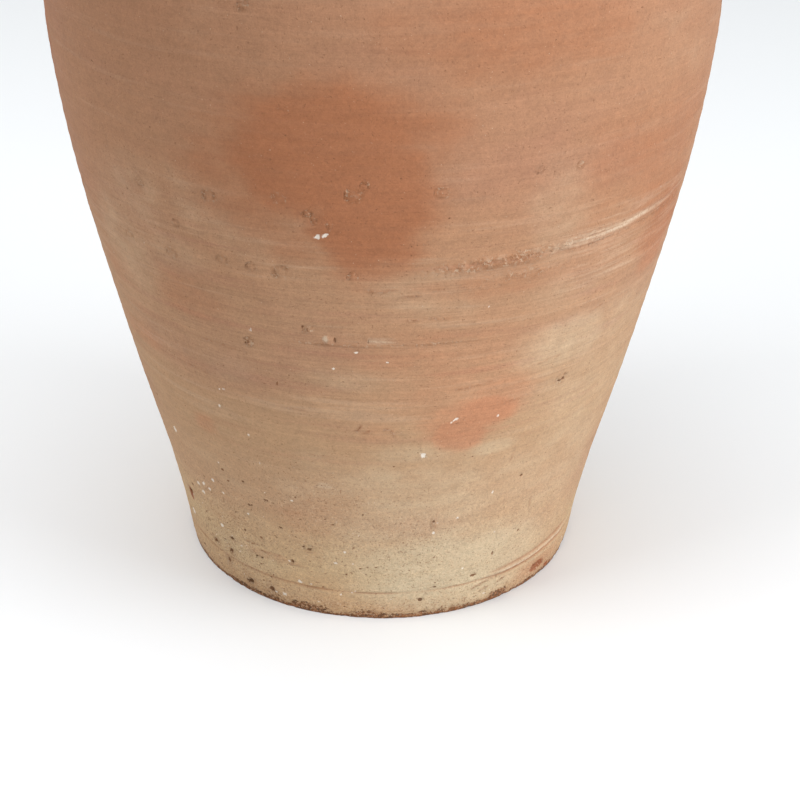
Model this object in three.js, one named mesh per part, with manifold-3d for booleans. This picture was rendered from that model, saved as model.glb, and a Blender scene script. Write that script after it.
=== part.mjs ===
// A large flat-based storage amphora in fired clay, made the way a potter assembles one: a base
// slab, four thrown wall sections stacked on it, a neck, a rolled rim and two pulled strap handles.
// Millimetres, +Z up. The origin is the centre of the foot, on the surface that the jar stands on,
// and the two handles lie on the X axis.
import * as THREE from "three";
import { mergeVertices } from "three/addons/utils/BufferGeometryUtils.js";
import Module from "manifold-3d";

// Driving dimensions.
const FOOT_RADIUS = 150;
const BELLY_RADIUS = 228;
const BELLY_HEIGHT = 432;
const NECK_RADIUS = 88;
const WALL = 13; // thickness of the thrown wall
const FOOT_EDGE = 4; // worn rounding of the foot's lower edge

// Heights of the joints between the pieces.
const BASE_TOP = 24;
const LOWER_TOP = 150;
const MIDDLE_TOP = 296;
const BELLY_TOP = 430;
const SHOULDER_TOP = 618;
const NECK_TOP = 672;

// The rolled rim, an oval in section.
const RIM_TOP = 715;
const RIM_RADIUS = 112;
const RIM_THICKNESS = 37;
const RIM_LIFT = 1; // how far the underside of the roll stands above the neck's joint

// The strap handles.
const STRAP_WIDTH = 44;
const STRAP_THICKNESS = 20;
const STRAP_ROUNDING = 0.75; // 1 would make the strap's section an ellipse, and 0 a rectangle
const HANDLE_REACH = 200; // from the jar's axis to the middle of the strap
const GAP = 0.3; // clearance between a handle and the wall that it is luted to

// Resolution.
const SEGMENTS = 48;
const SPAN_STEPS = 2; // points between two stations of the wall's outline
const RIM_STEPS = 12;
const EDGE_STEPS = 3;
const STRAP_SIDES = 14;
const STRAP_STEPS = 20;
const LEAST_STEP = 1; // least height between a cut end of a face and its next point

const point = (radius, height) => new THREE.Vector2(radius, height);

// The outer face of the jar, from the foot to the underside of the rim.
const outerFace = new THREE.SplineCurve([
  point(FOOT_RADIUS, 0),
  point(153, BASE_TOP),
  point(162.5, 75),
  point(181, LOWER_TOP),
  point(197.3, 222),
  point(212.7, MIDDLE_TOP),
  point(223.3, 365),
  point(BELLY_RADIUS, BELLY_HEIGHT),
  point(220, 492),
  point(197, 542),
  point(160, 583),
  point(120, 605),
  point(98, SHOULDER_TOP),
  point(NECK_RADIUS, 645),
  point(92, NECK_TOP),
]);

// The face at a given depth under the outer face, as points from bottom to top.
function faceAtDepth(depth) {
  const steps = (outerFace.points.length - 1) * SPAN_STEPS;
  const found = [];
  for (let i = 0; i <= steps; i++) {
    const p = outerFace.getPoint(i / steps);
    const tangent = outerFace.getTangent(i / steps);
    found.push(point(p.x - tangent.y * depth, p.y + tangent.x * depth));
  }
  return found;
}

// The part of a face between two heights, with its ends cut level.
function between(face, low, high) {
  const cutAt = (height) => {
    const i = Math.max(1, face.findIndex((p) => p.y >= height));
    const [a, b] = [face[i - 1], face[i]];
    return point(THREE.MathUtils.mapLinear(height, a.y, b.y, a.x, b.x), height);
  };
  const inside = face.filter((p) => p.y > low + LEAST_STEP && p.y < high - LEAST_STEP);
  return [cutAt(low), ...inside, cutAt(high)];
}

// A solid of revolution about Z from a profile of (radius, height) points.
function revolve(profile) {
  return new THREE.LatheGeometry(profile, SEGMENTS).rotateX(Math.PI / 2);
}

// One thrown ring of wall between two levels, with level joint faces.
function wallSection(low, high) {
  const outer = between(faceAtDepth(0), low, high);
  const inner = between(faceAtDepth(WALL), low, high).reverse();
  return revolve([...outer, ...inner, outer[0]]);
}

// The solid slab that the wall stands on, with a worn lower edge.
function baseSlab() {
  const edge = new THREE.EllipseCurve(
    FOOT_RADIUS - FOOT_EDGE,
    FOOT_EDGE,
    FOOT_EDGE,
    FOOT_EDGE,
    -Math.PI / 2,
    0,
  ).getPoints(EDGE_STEPS);
  const side = between(faceAtDepth(0), BASE_TOP / 2, BASE_TOP);
  return revolve([point(0, 0), ...edge, ...side, point(0, BASE_TOP)]);
}

// The rolled rim, which sits on the neck and overhangs it. Its section is an oval from underneath
// round to the inside, closed by a straight drop to the inside of the neck.
function rolledRim() {
  const low = NECK_TOP + RIM_LIFT;
  const roll = new THREE.EllipseCurve(
    RIM_RADIUS - RIM_THICKNESS / 2,
    (RIM_TOP + low) / 2,
    RIM_THICKNESS / 2,
    (RIM_TOP - low) / 2,
    -Math.PI / 2,
    Math.PI,
  ).getPoints(RIM_STEPS);
  const outside = between(faceAtDepth(0), SHOULDER_TOP, NECK_TOP).at(-1);
  const inside = between(faceAtDepth(WALL), SHOULDER_TOP, NECK_TOP).at(-1);
  return revolve([outside, ...roll, inside, outside]);
}

const solids = await Module();
solids.setup();

// A closed three.js geometry as a manifold-3d solid, and back.
function toSolid(geometry) {
  const bare = geometry.index ? geometry.toNonIndexed() : geometry.clone();
  bare.deleteAttribute("normal");
  bare.deleteAttribute("uv");
  const merged = mergeVertices(bare, 1e-3);
  return new solids.Manifold(
    new solids.Mesh({
      numProp: 3,
      vertProperties: merged.attributes.position.array,
      triVerts: new Uint32Array(merged.index.array),
    }),
  );
}

function toGeometry(solid) {
  const { vertProperties, triVerts } = solid.getMesh();
  const geometry = new THREE.BufferGeometry();
  geometry.setAttribute("position", new THREE.BufferAttribute(vertProperties, 3));
  geometry.setIndex(new THREE.BufferAttribute(triVerts, 1));
  geometry.computeVertexNormals();
  return geometry;
}

// The strap's cross-section, a flattened round. Its first axis lies across the strap, along Y.
function strapSection() {
  const sides = [];
  for (let i = 0; i < STRAP_SIDES; i++) {
    const angle = (i / STRAP_SIDES) * 2 * Math.PI;
    const soften = (v) => Math.sign(v) * Math.abs(v) ** STRAP_ROUNDING;
    sides.push(
      new THREE.Vector2(
        (STRAP_WIDTH / 2) * soften(Math.cos(angle)),
        (STRAP_THICKNESS / 2) * soften(Math.sin(angle)),
      ),
    );
  }
  return new THREE.Shape(sides);
}

// A handle on the +X side: it springs from the neck, arches out and comes down on the shoulder.
// Its ends are cut to the wall, so that it meets the neck and the shoulder face to face.
function strapHandle() {
  const line = new THREE.CatmullRomCurve3(
    [
      [78, 644],
      [112, 655],
      [150, 653],
      [182, 633],
      [HANDLE_REACH - 2, 600],
      [HANDLE_REACH, 565],
      [192, 530],
    ].map(([x, z]) => new THREE.Vector3(x, 0, z)),
  );
  const strap = new THREE.ExtrudeGeometry(strapSection(), {
    steps: STRAP_STEPS,
    extrudePath: line,
  });
  const wall = between(faceAtDepth(-GAP), BELLY_TOP, NECK_TOP);
  const jar = revolve([point(0, BELLY_TOP), ...wall, point(0, NECK_TOP)]);
  return toGeometry(toSolid(strap).subtract(toSolid(jar)));
}

// Materials: one unglazed clay, a little paler where the wall was wiped with slip.
function clay(colour) {
  return new THREE.MeshStandardMaterial({ color: colour, roughness: 0.92, metalness: 0 });
}
const slipClay = clay(0xcda98a);
const footClay = clay(0xcfb08e);
const collarClay = clay(0xc99a78);
const handleClay = clay(0xc8977a);

const amphora = new THREE.Group();

function addPiece(name, geometry, material, parent = amphora) {
  const piece = new THREE.Mesh(geometry, material);
  piece.name = name;
  parent.add(piece);
}

addPiece("base_slab", baseSlab(), footClay);
addPiece("lower_wall", wallSection(BASE_TOP, LOWER_TOP), slipClay);
addPiece("middle_wall", wallSection(LOWER_TOP, MIDDLE_TOP), slipClay);
addPiece("belly_wall", wallSection(MIDDLE_TOP, BELLY_TOP), slipClay);
addPiece("shoulder", wallSection(BELLY_TOP, SHOULDER_TOP), slipClay);
addPiece("neck", wallSection(SHOULDER_TOP, NECK_TOP), collarClay);
addPiece("rim", rolledRim(), collarClay);

for (const [name, turn] of [["handle_right", 0], ["handle_left", Math.PI]]) {
  const side = new THREE.Group();
  side.rotation.z = turn;
  addPiece(name, strapHandle(), handleClay, side);
  amphora.add(side);
}

export default amphora;
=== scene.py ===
"""The looks of a large thrown storage amphora: one finely worked mesh for each piece of the frame.

Places on the wall are (azimuth, height): degrees from the front of the jar, positive to the right,
and millimetres above the floor. The meshes themselves are in metres, in the frame's own axes.
"""

import math

import bpy
import numpy as np
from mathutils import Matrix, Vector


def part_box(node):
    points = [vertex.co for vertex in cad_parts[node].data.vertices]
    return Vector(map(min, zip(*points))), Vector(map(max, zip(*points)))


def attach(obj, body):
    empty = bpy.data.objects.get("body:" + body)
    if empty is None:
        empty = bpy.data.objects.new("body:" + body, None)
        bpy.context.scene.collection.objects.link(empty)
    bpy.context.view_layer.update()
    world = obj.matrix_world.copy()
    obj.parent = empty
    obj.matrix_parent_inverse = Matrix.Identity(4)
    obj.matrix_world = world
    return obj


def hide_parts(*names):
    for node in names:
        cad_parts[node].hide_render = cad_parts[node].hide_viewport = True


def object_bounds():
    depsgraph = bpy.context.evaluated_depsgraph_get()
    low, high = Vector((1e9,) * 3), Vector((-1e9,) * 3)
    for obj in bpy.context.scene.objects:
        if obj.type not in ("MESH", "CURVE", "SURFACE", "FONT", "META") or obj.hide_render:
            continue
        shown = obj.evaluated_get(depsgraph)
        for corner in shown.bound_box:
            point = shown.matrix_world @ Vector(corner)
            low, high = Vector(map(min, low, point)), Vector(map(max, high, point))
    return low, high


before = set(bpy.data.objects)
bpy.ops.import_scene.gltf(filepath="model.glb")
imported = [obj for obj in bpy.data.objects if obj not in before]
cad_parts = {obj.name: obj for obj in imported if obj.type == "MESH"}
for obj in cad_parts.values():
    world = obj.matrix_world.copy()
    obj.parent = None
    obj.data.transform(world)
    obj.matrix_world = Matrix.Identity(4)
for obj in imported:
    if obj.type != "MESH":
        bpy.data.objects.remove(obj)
cad_low, cad_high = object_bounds()

MM = 0.001

FINE = 1.0
COLUMNS = int(800 * FINE)  # round the jar
FRONT_BIAS = 0.35  # how much closer the columns stand at the front than at the back
ROW_STEP = 1.4 / FINE  # mm between rows on the outside of the wall
INNER_STEP = 6.0 / FINE
RIM_STEP = 1.5 / FINE
DISC_STEP = 3.5 / FINE  # under the foot and on top of it
MOST_ROWS = int(98 * FINE)  # on the outside of one section of wall
MOST_INNER_ROWS = int(26 * FINE)

# Clay taken off the frame's outline where it is widest and highest, so that the wobble of the
# wheel never stands outside the frame's own box.
INSET = 1.0
INSET_REACH = 70.0  # mm above and below the widest height

# Piece of the frame, and the material slot for it.
WALLS = {
    "lower_wall": "wall_clay",
    "middle_wall": "wall_clay",
    "belly_wall": "wall_clay",
    "shoulder": "wall_clay",
    "neck": "collar_clay",
}
HANDLES = {"handle_right": 90.0, "handle_left": -90.0}  # and the azimuth that each stands at
SEEN = 66  # degrees round from the front to the edge of the main view
WORN_RADIUS = 149.4  # mm, of the foot's ragged lower edge
WORN_HEIGHT = 6.0
RINGED_FROM = 440  # mm, where the rings of throwing begin to stand out
RINGED_FULLY = 520  # and where they are at full strength
RIM_CREST = 108  # mm from the axis, and its height
RIM_CREST_HEIGHT = 704
THROAT = 96  # mm from the axis to the inner side of the rim
RIM_SEED = 9
STRAP_SEED = 100


# ---- noise


def smooth_noise(x, y, z, seed=0):
    """Smooth value noise between -1 and 1, one unit between its lattice points."""
    place = np.stack(np.broadcast_arrays(x, y, z), -1)
    cell = np.floor(place).astype(np.int64)
    share = place - cell
    share = share * share * (3 - 2 * share)
    total = 0.0
    for corner in np.ndindex(2, 2, 2):
        i, j, k = np.moveaxis(cell + corner, -1, 0)
        mixed = (i * 73856093) ^ (j * 19349663) ^ (k * 83492791) ^ (seed * 2654435761)
        mixed = (mixed ^ (mixed >> 13)) * 1274126177 & 0x7FFFFFFF
        value = ((mixed ^ (mixed >> 15)) & 0xFFFF) / 0xFFFF
        total = total + value * np.where(corner, share, 1 - share).prod(-1)
    return 2 * total - 1


def clouds(x, y, z, seed=0, octaves=3):
    """Several sizes of smooth noise, each half as large and half as strong as the last."""
    found = sum(
        smooth_noise(x * 2**n, y * 2**n, z * 2**n, seed + n) / 2**n for n in range(octaves)
    )
    return found / (2 - 2.0 ** (1 - octaves))


def ease(value, low, high):
    """0 below low, 1 above high, and smooth between them. low may be the larger."""
    share = np.clip((value - low) / (high - low), 0, 1)
    return share * share * (3 - 2 * share)


def draw(random, low, high, power=1):
    """A random number between two, nearer the first the higher the power."""
    return low + (high - low) * random.random() ** power


def bell(distance, width):
    """1 in the middle of a band, falling away smoothly on either side."""
    return np.exp(-((distance / width) ** 2))


def wave(distance, length):
    return np.sin(2 * math.pi * distance / length)


# ---- the jar's outline


def turned_face(nodes, side):
    """The (radius, height) points, in mm, of turned nodes' outer (side 1) or inner (side -1) face."""
    found = set()
    for node in nodes:
        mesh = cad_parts[node].data
        for facet in mesh.polygons:
            middle = facet.center.xy
            if side * facet.normal.xy.dot(middle) > 0.02 * middle.length:
                corners = [mesh.vertices[i].co / MM for i in facet.vertices]
                found.update((round(p.xy.length, 1), round(p.z, 1)) for p in corners)
    return np.array(sorted(found, key=lambda p: (p[1], p[0])))


class Outline:
    """A smooth curve through (radius, height) points, measured by the path along them."""

    def __init__(self, points):
        self.points = np.array(points, float)
        steps = np.hypot(*np.diff(self.points, axis=0).T)
        self.path = np.concatenate([[0], np.cumsum(steps)])
        self.slope = np.gradient(self.points, self.path, axis=0)

    def at(self, path):
        """The points at these distances along the curve, and the outward normals there."""
        i = np.clip(np.searchsorted(self.path, path) - 1, 0, len(self.path) - 2)
        span = (self.path[i + 1] - self.path[i])[:, None]
        s = (path - self.path[i])[:, None] / span
        start, end = self.points[i], self.points[i + 1]
        leave, arrive = self.slope[i] * span, self.slope[i + 1] * span
        place = (
            (2 * s**3 - 3 * s**2 + 1) * start
            + (s**3 - 2 * s**2 + s) * leave
            + (3 * s**2 - 2 * s**3) * end
            + (s**3 - s**2) * arrive
        )
        along = (
            (6 * s**2 - 6 * s) * (start - end)
            + (3 * s**2 - 4 * s + 1) * leave
            + (3 * s**2 - 2 * s) * arrive
        )
        along /= np.linalg.norm(along, axis=1, keepdims=True)
        return place, np.stack([along[:, 1], -along[:, 0]], 1)

    def path_at(self, height):
        return np.interp(height, self.points[:, 1], self.path)


outer_points = turned_face(["base_slab", *WALLS], 1)
at_foot = outer_points[:, 1] < WORN_HEIGHT
outer_points[at_foot, 0] = np.maximum(outer_points[at_foot, 0], WORN_RADIUS)
outside = Outline(outer_points)
inside = Outline(turned_face(WALLS, -1))

# Azimuths of the columns, in degrees, closest together at the front.
turns = np.arange(COLUMNS) / COLUMNS * 2 - 1
azimuths = 180 * (turns - FRONT_BIAS * np.sin(math.pi * turns) / math.pi)


def turned(radius, height):
    """Points at these distances from the axis and heights, one for each column, in mm."""
    angle = np.radians(azimuths)
    points = np.broadcast_arrays(radius * np.sin(angle), -radius * np.cos(angle), height)
    return np.stack(points, -1)


def round_from(azimuth):
    """How far round each column is from an azimuth, from -180 to 180 degrees."""
    return (azimuths - azimuth + 180) % 360 - 180


# ---- a face of the jar as a grid

# What the material is told about each point. A cloud is 0 where there is none of it and about 1
# where it is full. A spot is the distance inside its edge as a share of its size, so that the
# material can cut a crisp edge at 0.
# Besides the marks they are named for, the grime, crumb and pit masks also carry painted shade, and the
# bloom and scrape masks carry painted highlights.
CLOUDS = ("patch", "bloom_and_highlight", "crumb_and_shade", "scrape_and_highlight", "fresh", "grime_and_shade", "grit")
SPOTS = ("fleck", "pit_and_shade")


def blank(shape):
    """The masks of points with no marks."""
    masks = {name: np.zeros(shape) for name in CLOUDS}
    masks.update({name: np.full(shape, -1.0) for name in SPOTS})
    return masks


class Face:
    """A turned face of a piece, as rows up the wall by columns round it, in mm."""

    def __init__(self, outline, path):
        self.outline = outline
        self.path = path
        place, self.normal = outline.at(path)
        self.radius, self.height = place.T
        widest = outline.points[np.argmax(outline.points[:, 0]), 1]
        self.inset = INSET * bell(self.height - widest, INSET_REACH)
        points = turned(self.radius[:, None], self.height[:, None])
        self.x, self.y, self.z = np.moveaxis(points, -1, 0)
        self.relief = np.zeros(self.x.shape)
        self.masks = blank(self.x.shape)

    def clouds(self, across, tall, seed, octaves=3):
        """Clouds so many mm across and tall, or the same at every height where tall is None."""
        z = self.z / tall if tall else 0
        return clouds(self.x / across, self.y / across, z, seed, octaves)

    def grains(self, across, tall, seed):
        return smooth_noise(self.x / across, self.y / across, self.z / tall, seed)

    def mark(self, mask, here, shares):
        """Shares of a mask on part of the grid, where they are more than it already has."""
        self.masks[mask][here] = np.maximum(self.masks[mask][here], shares)

    def near(self, azimuth, height, reach, turn=0):
        """The part of the grid near a place, if any, and how far each point is round and up from it,
        in mm, along directions turned by so many degrees."""
        up = self.path - self.outline.path_at(height)
        rows = np.flatnonzero(abs(up) < reach)
        radius = self.radius[rows].mean() if len(rows) else 1
        across = np.radians(round_from(azimuth)) * radius
        columns = np.flatnonzero(abs(across) < reach)
        u, v = across[columns][None, :], up[rows][:, None]
        c, s = math.cos(math.radians(turn)), math.sin(math.radians(turn))
        return np.ix_(rows, columns), c * u + s * v, c * v - s * u

    def spot(self, mask, azimuth, height, length, tall, depth=0, turn=0, lip=0, strength=1):
        """A pit or a fleck: a hollow so deep, with a raised lip, that the material colours."""
        here, u, v = self.near(azimuth, height, 1.1 * max(length, tall), turn)
        far = np.hypot(u / (length / 2), v / (tall / 2))
        far = far + 0.3 * smooth_noise(u / 1.6 + azimuth, v / 1.6, height, 45)
        self.relief[here] -= 0.75 * depth * ease(far, 1.15, 0.25)
        self.relief[here] += lip * bell(far - 1.35, 0.3)
        if mask:
            self.mark(mask, here, np.minimum(1 - far, strength * (1 - far)))

    def cloud(self, mask, azimuth, height, length, tall, strength=1, soft=0.5, seed=0):
        """A soft-edged patch of colour with an uneven outline."""
        here, u, v = self.near(azimuth, height, 0.9 * max(length, tall))
        x, y, z = self.x[here], self.y[here], self.z[here]
        far = np.hypot(u / (length / 2), v / (tall / 2))
        if abs(azimuth) < SEEN:
            far = far + 0.22 * clouds(x / 22, y / 22, z / 14, 40 + seed)
        else:
            along, aside = (u + 0.7 * v) / (0.4 * length), (1.5 * v - 0.9 * u) / (0.4 * length)
            far = far + 0.65 * clouds(along, aside, azimuth, 40 + seed, 4)
        self.mark(mask, here, strength * ease(far, 1 + soft / 2, 1 - soft / 2))

    def solid_points(self):
        """The grid in metres, with its relief."""
        out = self.relief - self.inset[:, None]
        radius = self.radius[:, None] + self.normal[:, :1] * out
        height = self.height[:, None] + self.normal[:, 1:] * out
        return turned(radius, height) * MM


# ---- what happened to the wall

FOOT_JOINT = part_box("base_slab")[1].z / MM
SEAM_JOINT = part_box("middle_wall")[1].z / MM
SCATTER_SEED = 5
SEAM_SLANT = 18  # mm that the seam climbs and falls on its way round

# The clay round a handle's two roots: height, how far it reaches across and along the wall, how
# softly it ends and how proud it stands, in mm.
ROOTS = {
    "neck": (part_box("handle_right")[1].z / MM - 16, 23, 11, 13, 5),
    "shoulder": (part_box("handle_right")[0].z / MM + 16, 25, 13, 19, 6),
}

# A mark in these tables starts with its azimuth and height. Its length round the wall and how tall
# it is come next, in mm, unless the table's own comment names all its numbers.

# Lime that has burst out of the clay, and its tilt in degrees.
LIME = [
    (-10.1, 319, 6, 3.4, 40), (-8.9, 320.5, 6, 3, 40), (8.9, 152, 5, 6, 10), (15.1, 181, 5, 2.2, 25),
    (14, 178, 2, 2, 0), (-24, 245.5, 2.6, 3, 0), (-33, 190, 3, 3, 0), (-35.3, 174, 2.6, 3, 0),
    (-29, 156, 2.4, 2.8, 0), (-27.7, 132.5, 2.2, 3, 0), (1, 230, 2.4, 2, 0), (-4.5, 237, 3, 2.2, 0),
    (-8.8, 223.5, 2.4, 2.2, 0), (24, 178, 2, 2.6, 0), (-11.5, 51, 3.6, 2.2, 0), (-9, 62, 3.6, 2.2, 0),
    (12.9, 79.5, 2.6, 3, 0), (18.5, 90.5, 3, 2.4, 0), (-7.6, 23.5, 3.4, 1.8, 0), (29.8, 9.5, 2.8, 2.2, 0),
    (-40.8, 118, 2.4, 3, 0), (-45.5, 96, 4.5, 3, 20), (-50.5, 86, 5, 3.4, 20), (-53.8, 81, 6, 4.6, 20),
    (-52.4, 75.5, 5, 4, 20), (-48.4, 84, 4, 2.6, 0), (-47, 52.5, 4.5, 3.5, 0), (-42.5, 88, 3.4, 2.6, 0),
    (-57.5, 124, 4, 6, 10), (-65.5, 38, 7, 6, 20), (-27.5, 10.5, 4.5, 4, 0), (-6.3, 366, 1.6, 2, 0),
    (-35, 78, 3, 2.4, 0), (-22, 27, 4, 3, 0), (26.7, 108, 1.8, 4, 10),
]

# Dark pits, and how deep.
PITS = [
    (38.7, 194.5, 3.4, 4, 1.6), (39.7, 196.5, 2.6, 3, 1.4), (37.8, 193.8, 2.2, 3, 1),
    (25.5, 30.8, 5.6, 2.4, 1.6), (14.5, 27, 2.4, 2, 1.2), (34, 116.5, 2.6, 2.6, 1.1),
    (-38.7, 10.5, 6, 5.5, 2.2), (-31.4, 11.5, 4.6, 5.6, 2), (-45.2, 31, 4.6, 4.6, 1.8),
    (-43.5, 45, 5.4, 2.6, 1.4), (-52.2, 31, 5.4, 4.6, 1.6), (-34.8, 39, 2.8, 2.6, 1.2),
    (-33.2, 39.4, 2.8, 2.6, 1.2), (-34, 32.6, 2.2, 2.6, 1.1), (-23.6, 45.5, 3.4, 3.2, 1.3),
    (-61.5, 63, 7, 4, 1.6), (-58.5, 73, 4.5, 3, 1.2), (-40, 112.5, 3, 2.6, 1.1), (-34, 109, 2.4, 2.4, 1),
    (-39.2, 104, 2.6, 2.2, 0.9), (-34, 87.5, 3, 2.4, 1), (-25.6, 75, 3.6, 2.2, 0.9),
    (-18.2, 60.5, 6, 2.6, 1.1), (-19.8, 61.5, 3, 2, 0.9), (-1.2, 49, 3.4, 1.6, 1),
    (-3.4, 48.5, 2.2, 1.6, 0.8), (-8.9, 41, 1.8, 2.2, 0.8), (30.5, 47.6, 2.2, 3.2, 1),
    (38, 60.5, 2.4, 2.4, 0.9), (13.6, 56, 1.8, 2.2, 0.8), (12.6, 90, 1.6, 4.4, 0.6),
    (-20, 108, 1.8, 2.8, 0.8), (-20.2, 206, 1.6, 3.4, 0.7), (-24.8, 236, 2.6, 3, 0.8),
    (-25.5, 234.6, 2, 2, 0.6), (-13.9, 253.4, 2.2, 1.8, 0.9), (-12.9, 251.6, 2.2, 1.6, 0.8),
    (-45.5, 186.5, 2.6, 2.2, 0.8), (27.2, 354.8, 1.8, 1.8, 0.9), (23.5, 356.6, 1.6, 1.6, 0.8),
    (11, 16.8, 5, 2, 1.2), (-47.2, 20.5, 4, 5, 1.2), (-3.8, 41.8, 2.2, 1.4, 0.6),
    (10.6, 16.2, 2.8, 2, 1.2), (-37.5, 60, 2.4, 2.4, 0.8),
]

# Stones buried just under the surface: azimuth, height and how wide.
STONES = [
    (-28, 337, 9), (-16, 342, 9), (-4.3, 347.5, 10), (9, 349, 8), (32, 356, 6), (-50, 289, 8),
    (-38.5, 289, 9), (-27.3, 294, 8), (-22, 293, 7), (-16.8, 292, 10), (-4.7, 293, 6.5), (-11.5, 334, 6),
    (-10.4, 329.5, 4.5), (-8.2, 327, 4), (-43, 333, 7), (66, 344, 7), (-2.6, 354, 5), (24.6, 357.5, 5),
    (-36, 312, 6), (-13, 252, 7), (-24.8, 235.5, 7), (38.4, 195.5, 9), (-18, 61, 9), (-84, 318, 8),
    (-71, 301, 9), (96, 337, 8), (121, 322, 9), (-112, 345, 7), (158, 300, 10), (-140, 280, 8),
    (75, 420, 8), (-20, 455, 7), (40, 500, 8), (-160, 410, 9),
]

# Orange patches where the slip is thin, their strength and how soft their edge is.
PATCHES = [
    (-2, 343, 80, 100, 0.95, 0.8), (-12, 366, 100, 70, 0.9, 1), (-7, 386, 130, 60, 0.9, 1.2),
    (-1.5, 310, 44, 40, 0.6, 0.9), (61, 288, 66, 76, 0.75, 1), (16, 180, 60, 46, 0.6, 1),
    (16.2, 168, 44, 34, 0.85, 0.6), (14, 200, 90, 46, 0.45, 1.4), (-37, 259, 60, 34, 0.4, 1.2),
    (-60, 205, 70, 20, 0.45, 1.2), (12, 226, 130, 70, 0.4, 1.4), (52, 352, 170, 74, 0.45, 1.4),
    (-0.5, 173, 26, 16, 0.3, 1.2), (-30, 44, 70, 9, 0.3, 1.2), (22, 284, 120, 24, 0.4, 1.2),
    (50, 13, 60, 16, 0.45, 1), (-19, 100, 46, 60, 0.22, 1.4), (-41, 152, 22, 14, 0.5, 1.2),
    (-58, 256, 60, 30, 0.35, 1.2), (50, 120, 70, 60, 0.12, 1.4), (24, 197, 60, 40, 0.6, 1.2),
    (21.5, 184, 50, 30, 0.85, 0.8), (9, 88, 60, 12, 0.2, 1.4), (-44, 300, 90, 26, 0.12, 1.4),
    (-27, 352, 60, 56, 0.45, 1.3), (-22, 331, 70, 40, 0.5, 1.3), (-13, 312, 60, 26, 0.4, 1.3),
    (0, 297, 46, 22, 0.4, 1.2), (58, 316, 90, 50, 0.55, 1.4), (112, 300, 90, 70, 0.7, 0.9),
    (165, 220, 70, 90, 0.6, 0.9), (-118, 262, 80, 60, 0.6, 0.9), (-150, 360, 130, 80, 0.8, 1),
    (140, 410, 120, 70, 0.6, 1.1), (-80, 400, 110, 60, 0.6, 1.1), (20, 440, 150, 60, 0.5, 1.2),
    (-30, 500, 120, 60, 0.55, 1.1), (70, 520, 90, 60, 0.5, 1.1), (-160, 520, 140, 70, 0.6, 1.1),
    (150, 100, 60, 40, 0.5, 1.1), (-95, 120, 70, 40, 0.4, 1.1),
]

# Pale, yellowish bloom, and its strength.
BLOOMS = [
    (20, 46, 170, 74, 0.7), (16, 30, 130, 40, 0.8), (-40, 32, 90, 40, 0.32), (-34, 17, 110, 16, 0.3),
    (12, 100, 110, 120, 0.42), (0, 74, 70, 90, 0.38), (24, 15, 100, 24, 0.75), (-45, 322, 80, 60, 0.25),
    (-39, 291, 60, 30, 0.25), (29, 325, 46, 80, 0.28), (31, 120, 50, 70, 0.25), (33, 122, 70, 40, 0.3),
    (46, 110, 120, 110, 0.3), (55, 228, 90, 60, 0.25), (48, 180, 120, 120, 0.25), (34, 70, 90, 40, 0.25),
    (38, 226, 84, 46, 0.42), (6, 153, 54, 20, 0.4), (24, 151, 44, 16, 0.4), (30, 133, 80, 40, 0.25),
    (34, 272, 70, 40, 0.22), (-53, 284, 70, 90, 0.3), (-6, 215, 60, 18, 0.3), (-14, 262, 40, 60, 0.1),
    (-31, 210, 50, 26, 0.2), (120, 60, 160, 60, 0.6), (-130, 50, 200, 60, 0.6), (178, 150, 120, 60, 0.35),
    (-100, 300, 80, 60, 0.35), (100, 200, 70, 50, 0.4), (60, 600, 60, 30, 0.35),
    (-140, 460, 90, 60, 0.35),
]

# Chips knocked off the foot's edge, and how deep.
CHIPS = [
    (50.5, 11, 18, 9, 1.5), (57, 3, 9, 5, 1.2), (-62, 60, 7, 13, 0.3), (96, 3, 26, 9, 2.2),
    (140, 4, 14, 8, 1.8), (-105, 2, 22, 8, 2), (-160, 3, 18, 7, 1.6), (172, 3, 24, 8, 2.2),
]

# Where the clay is grittiest, and how strongly.
GRIT = [
    (-44, 44, 100, 100, 0.8), (-15, 90, 90, 110, 0.55), (5, 60, 90, 90, 0.6), (-16, 8, 70, 24, 0.9),
    (22, 20, 60, 24, 0.6), (95, 50, 100, 80, 0.8), (160, 30, 160, 70, 0.9), (-120, 40, 160, 90, 0.9),
]

# Dirt low on the foot, and its strength.
STAINS = [(-20, 4.5, 34, 8, 0.6), (-3, 4.5, 26, 6, 0.6), (18, 4.5, 34, 6, 0.4), (35, 4.5, 20, 9, 0.7)]

# Stretches of the seam: where each begins and where it is full, then where it is last full and
# where it ends, in degrees, and its strength.
CRUMBLY = [(3, 16, 36, 48, 1), (-118, -105, -75, -60, 0.6), (118, 126, 140, 158, 0.8)]
CRUMBLY_BELOW = [(1, 20, 22, 38, 1)]
SCRAPED_PALE = [(26, 38, 58, 76, 1), (-160, -150, -130, -110, 0.5)]
DRAGGED = [(-22, -9, 6, 26, 1)]

# Dents of the potter's thumbs by a handle: degrees beside it, and mm above its lower root.
THUMB_DENTS = [(11.5, 6), (9, -20), (3, -27)]

# Chips knocked off the rim: azimuth, how wide and how deep.
RIM_CHIPS = [(22, 15, 1.8), (-64, 10, 1.3), (118, 18, 2), (-150, 12, 1.5)]

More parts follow.
